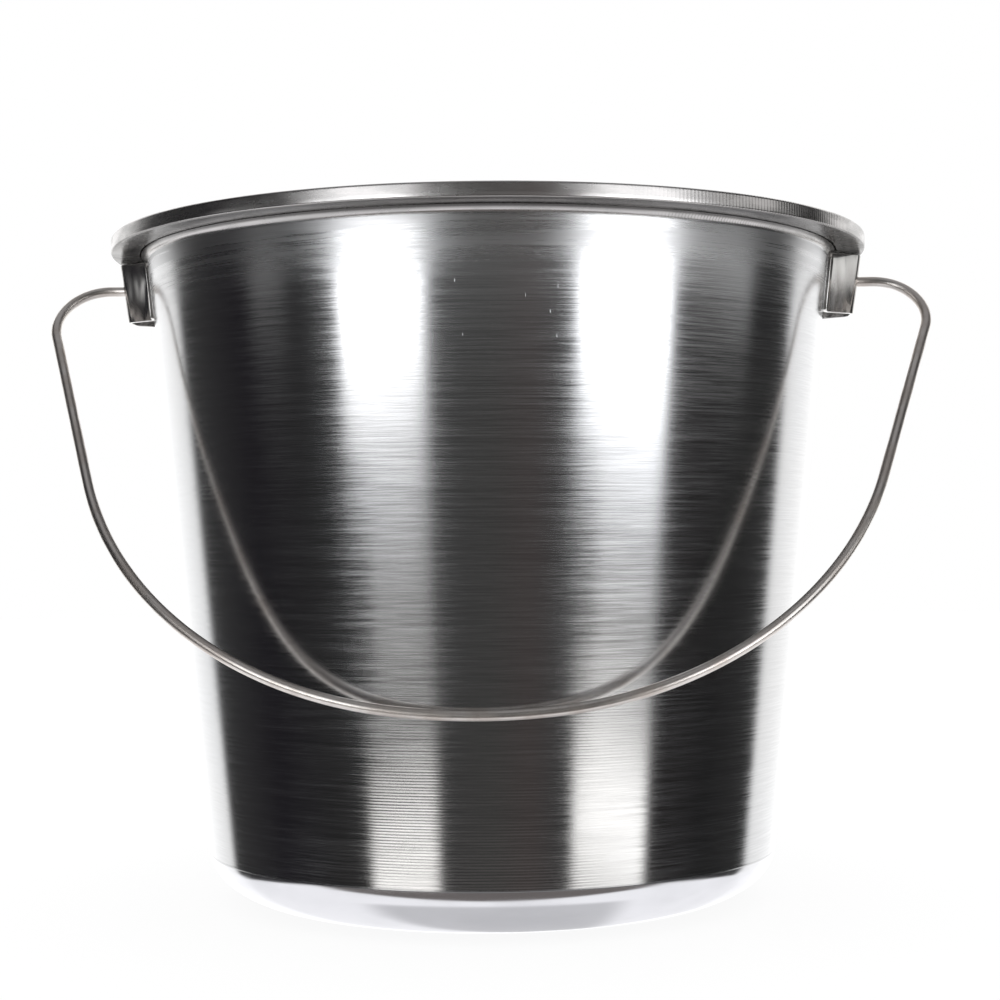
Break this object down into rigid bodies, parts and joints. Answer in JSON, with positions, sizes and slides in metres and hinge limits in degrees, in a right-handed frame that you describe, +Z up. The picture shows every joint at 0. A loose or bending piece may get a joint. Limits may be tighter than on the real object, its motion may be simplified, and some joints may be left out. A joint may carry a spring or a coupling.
{
  "type": "stainless steel pail",
  "caption": "Tapered stainless steel pail with a flat curled rim, two ears welded under the rim and a wire bail that swings from one side to the other.",
  "frame": {"origin": "middle of the underside of the base", "axes": "+X to the right ear, +Y to the back (the bail rests on the front, at -Y), +Z up"},
  "size_m": [0.3508, 0.3, 0.26],
  "materials": {
    "pail_steel": "fine brushing round the wall, polished rim and base corner",
    "ear_steel": "bright rolled strip",
    "wire_steel": "bright drawn wire"
  },
  "bodies": {
    "pail": {"pail": "pail_steel", "left_ear": "ear_steel", "right_ear": "ear_steel"},
    "bail": {"bail": "wire_steel"}
  },
  "joints": [
    {"name": "bail_swing", "type": "hinge", "parent": "pail", "child": "bail", "pos_m": [0, 0, 0.244], "axis": [-1, 0, 0], "range_deg": [0, 286.7]}
  ]
}
